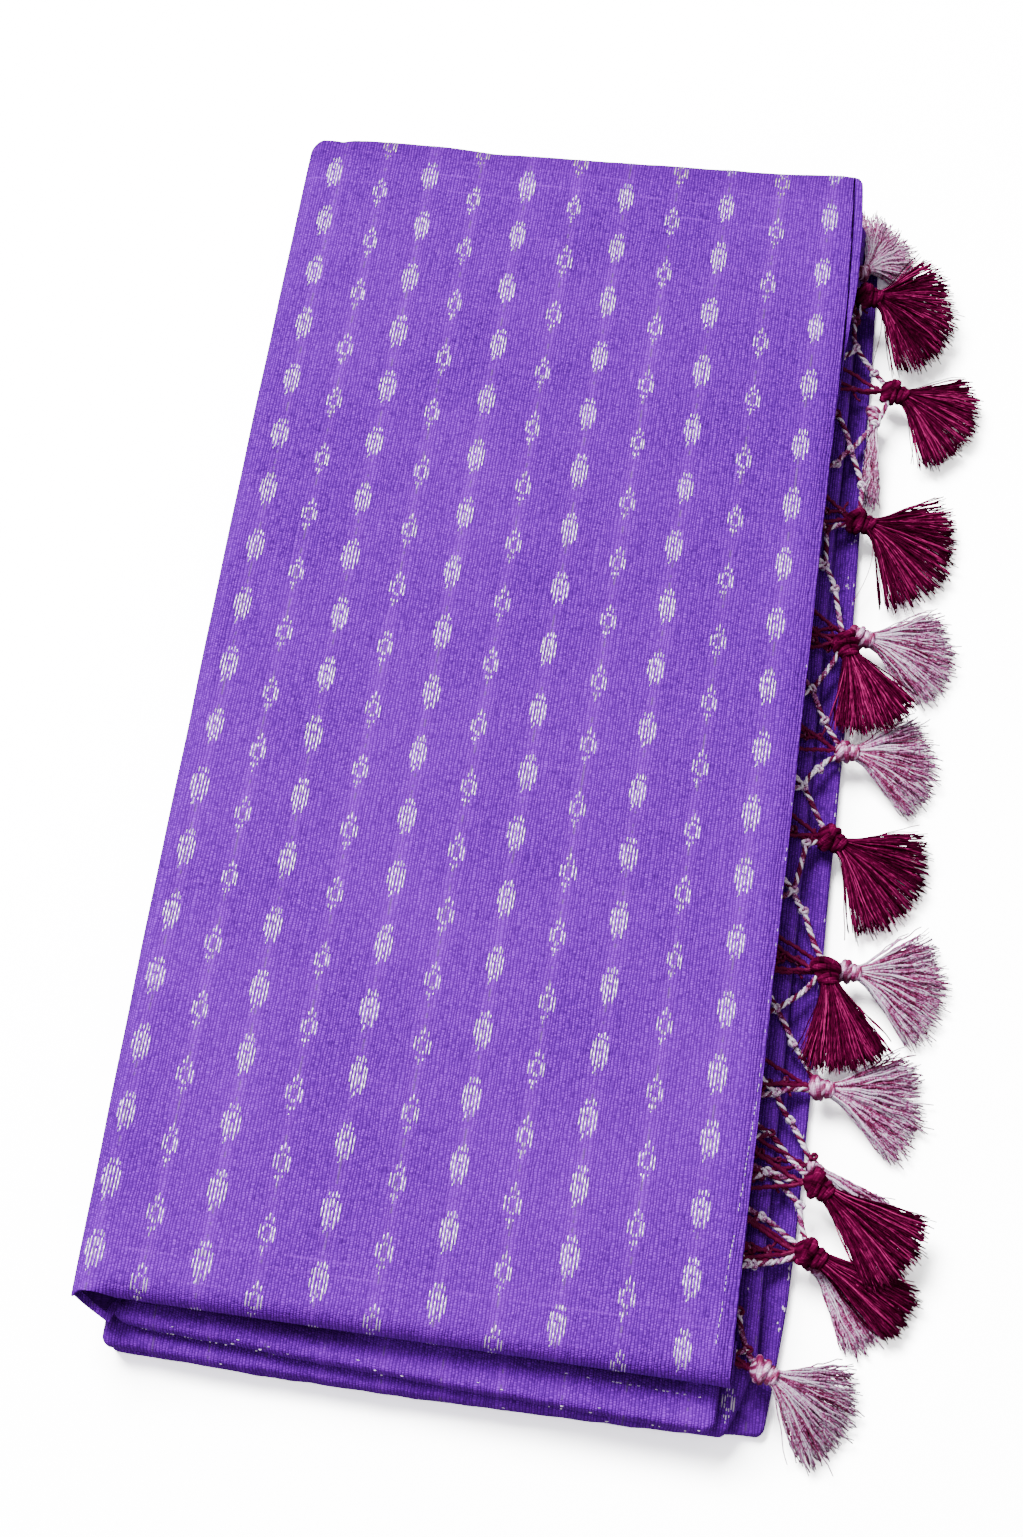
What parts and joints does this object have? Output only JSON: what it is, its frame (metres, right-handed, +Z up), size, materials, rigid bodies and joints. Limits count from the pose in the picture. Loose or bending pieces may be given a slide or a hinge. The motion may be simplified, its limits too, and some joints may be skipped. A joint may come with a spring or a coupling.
{
  "type": "saree",
  "caption": "Folded saree lying flat, woven with small metallic motifs, its knotted net and tasselled end showing along one side.",
  "frame": {"origin": "on the flat underside, in the middle of the folded pack without its tassels", "axes": "+X across the pack to the tasselled side, +Y from the three front folds to the back, +Z up"},
  "size_m": [0.2355, 0.4233, 0.0323],
  "materials": {
    "purple_cloth": "matt woven cloth with silver motifs",
    "hidden_cloth": "matt woven cloth",
    "net_cord": "twisted maroon and silver thread",
    "maroon_thread": "soft lustrous thread",
    "mixed_thread": "lustrous maroon and silver thread"
  },
  "bodies": {
    "root": {"top_stretch": "purple_cloth", "under_stretch": "purple_cloth", "middle_stretch": "purple_cloth", "lower_stretch": "purple_cloth", "base_stretch": "purple_cloth", "hidden_layers": "hidden_cloth", "fringe_net": "net_cord", "tassel_01": "mixed_thread", "tassel_02": "maroon_thread", "tassel_03": "maroon_thread", "tassel_04": "mixed_thread", "tassel_05": "maroon_thread", "tassel_06": "maroon_thread", "tassel_07": "mixed_thread", "tassel_08": "mixed_thread", "tassel_09": "maroon_thread", "tassel_10": "maroon_thread", "tassel_11": "mixed_thread", "tassel_12": "mixed_thread", "tassel_13": "mixed_thread", "tassel_14": "maroon_thread", "tassel_15": "maroon_thread", "tassel_16": "mixed_thread", "tassel_17": "mixed_thread"}
  },
  "joints": []
}
